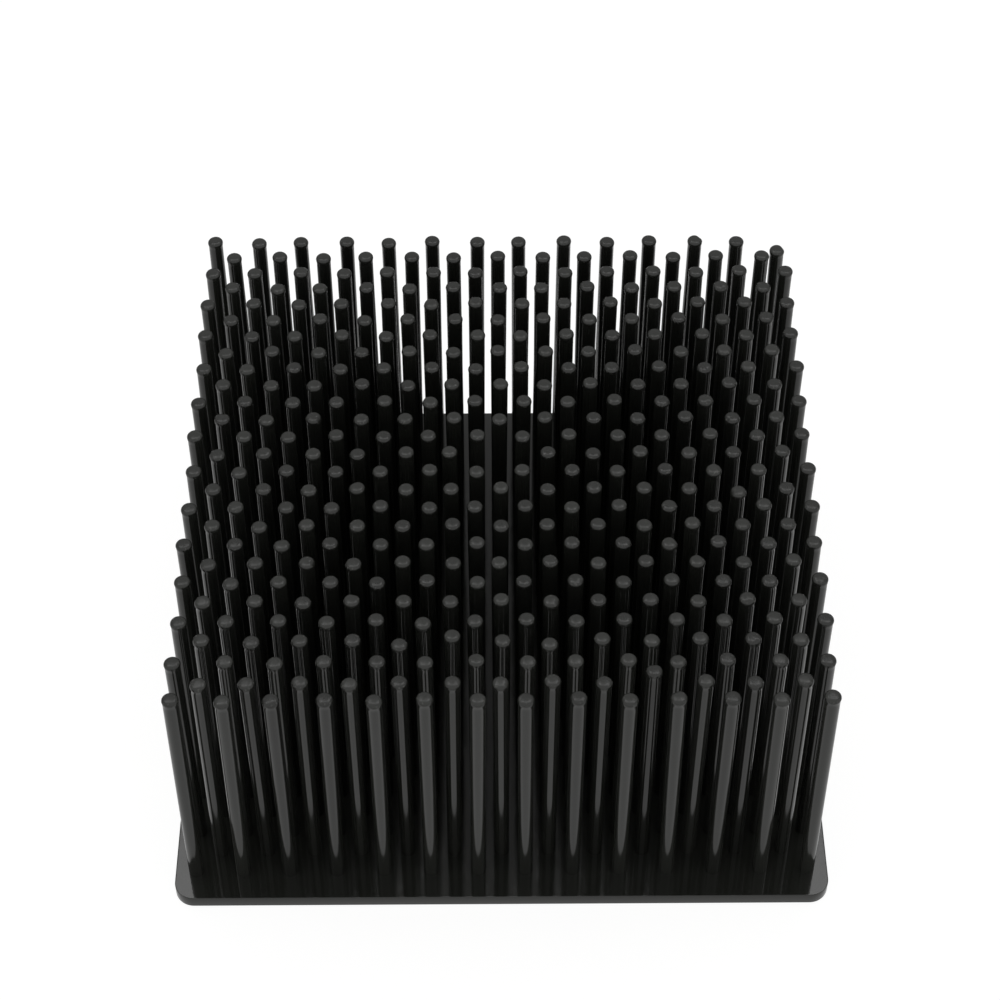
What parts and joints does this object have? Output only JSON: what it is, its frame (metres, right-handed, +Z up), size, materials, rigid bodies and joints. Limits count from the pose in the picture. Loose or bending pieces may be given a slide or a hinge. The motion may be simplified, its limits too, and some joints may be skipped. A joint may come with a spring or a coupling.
{
  "type": "pin fin heat sink",
  "caption": "Square heat sink with a thin flat plate and a dense staggered field of tall round pins, cold-forged in one piece from aluminium and anodised black.",
  "frame": {"origin": "middle of the plate's underside", "axes": "+Z up along the pins, +Y from the front edge, which has the wide margin, to the back edge, +X to the right along the rows"},
  "size_m": [0.1, 0.1, 0.0461],
  "materials": {
    "anodised_aluminium": "black anodised, semi-gloss"
  },
  "bodies": {
    "root": {"heat_sink": "anodised_aluminium"}
  },
  "joints": []
}
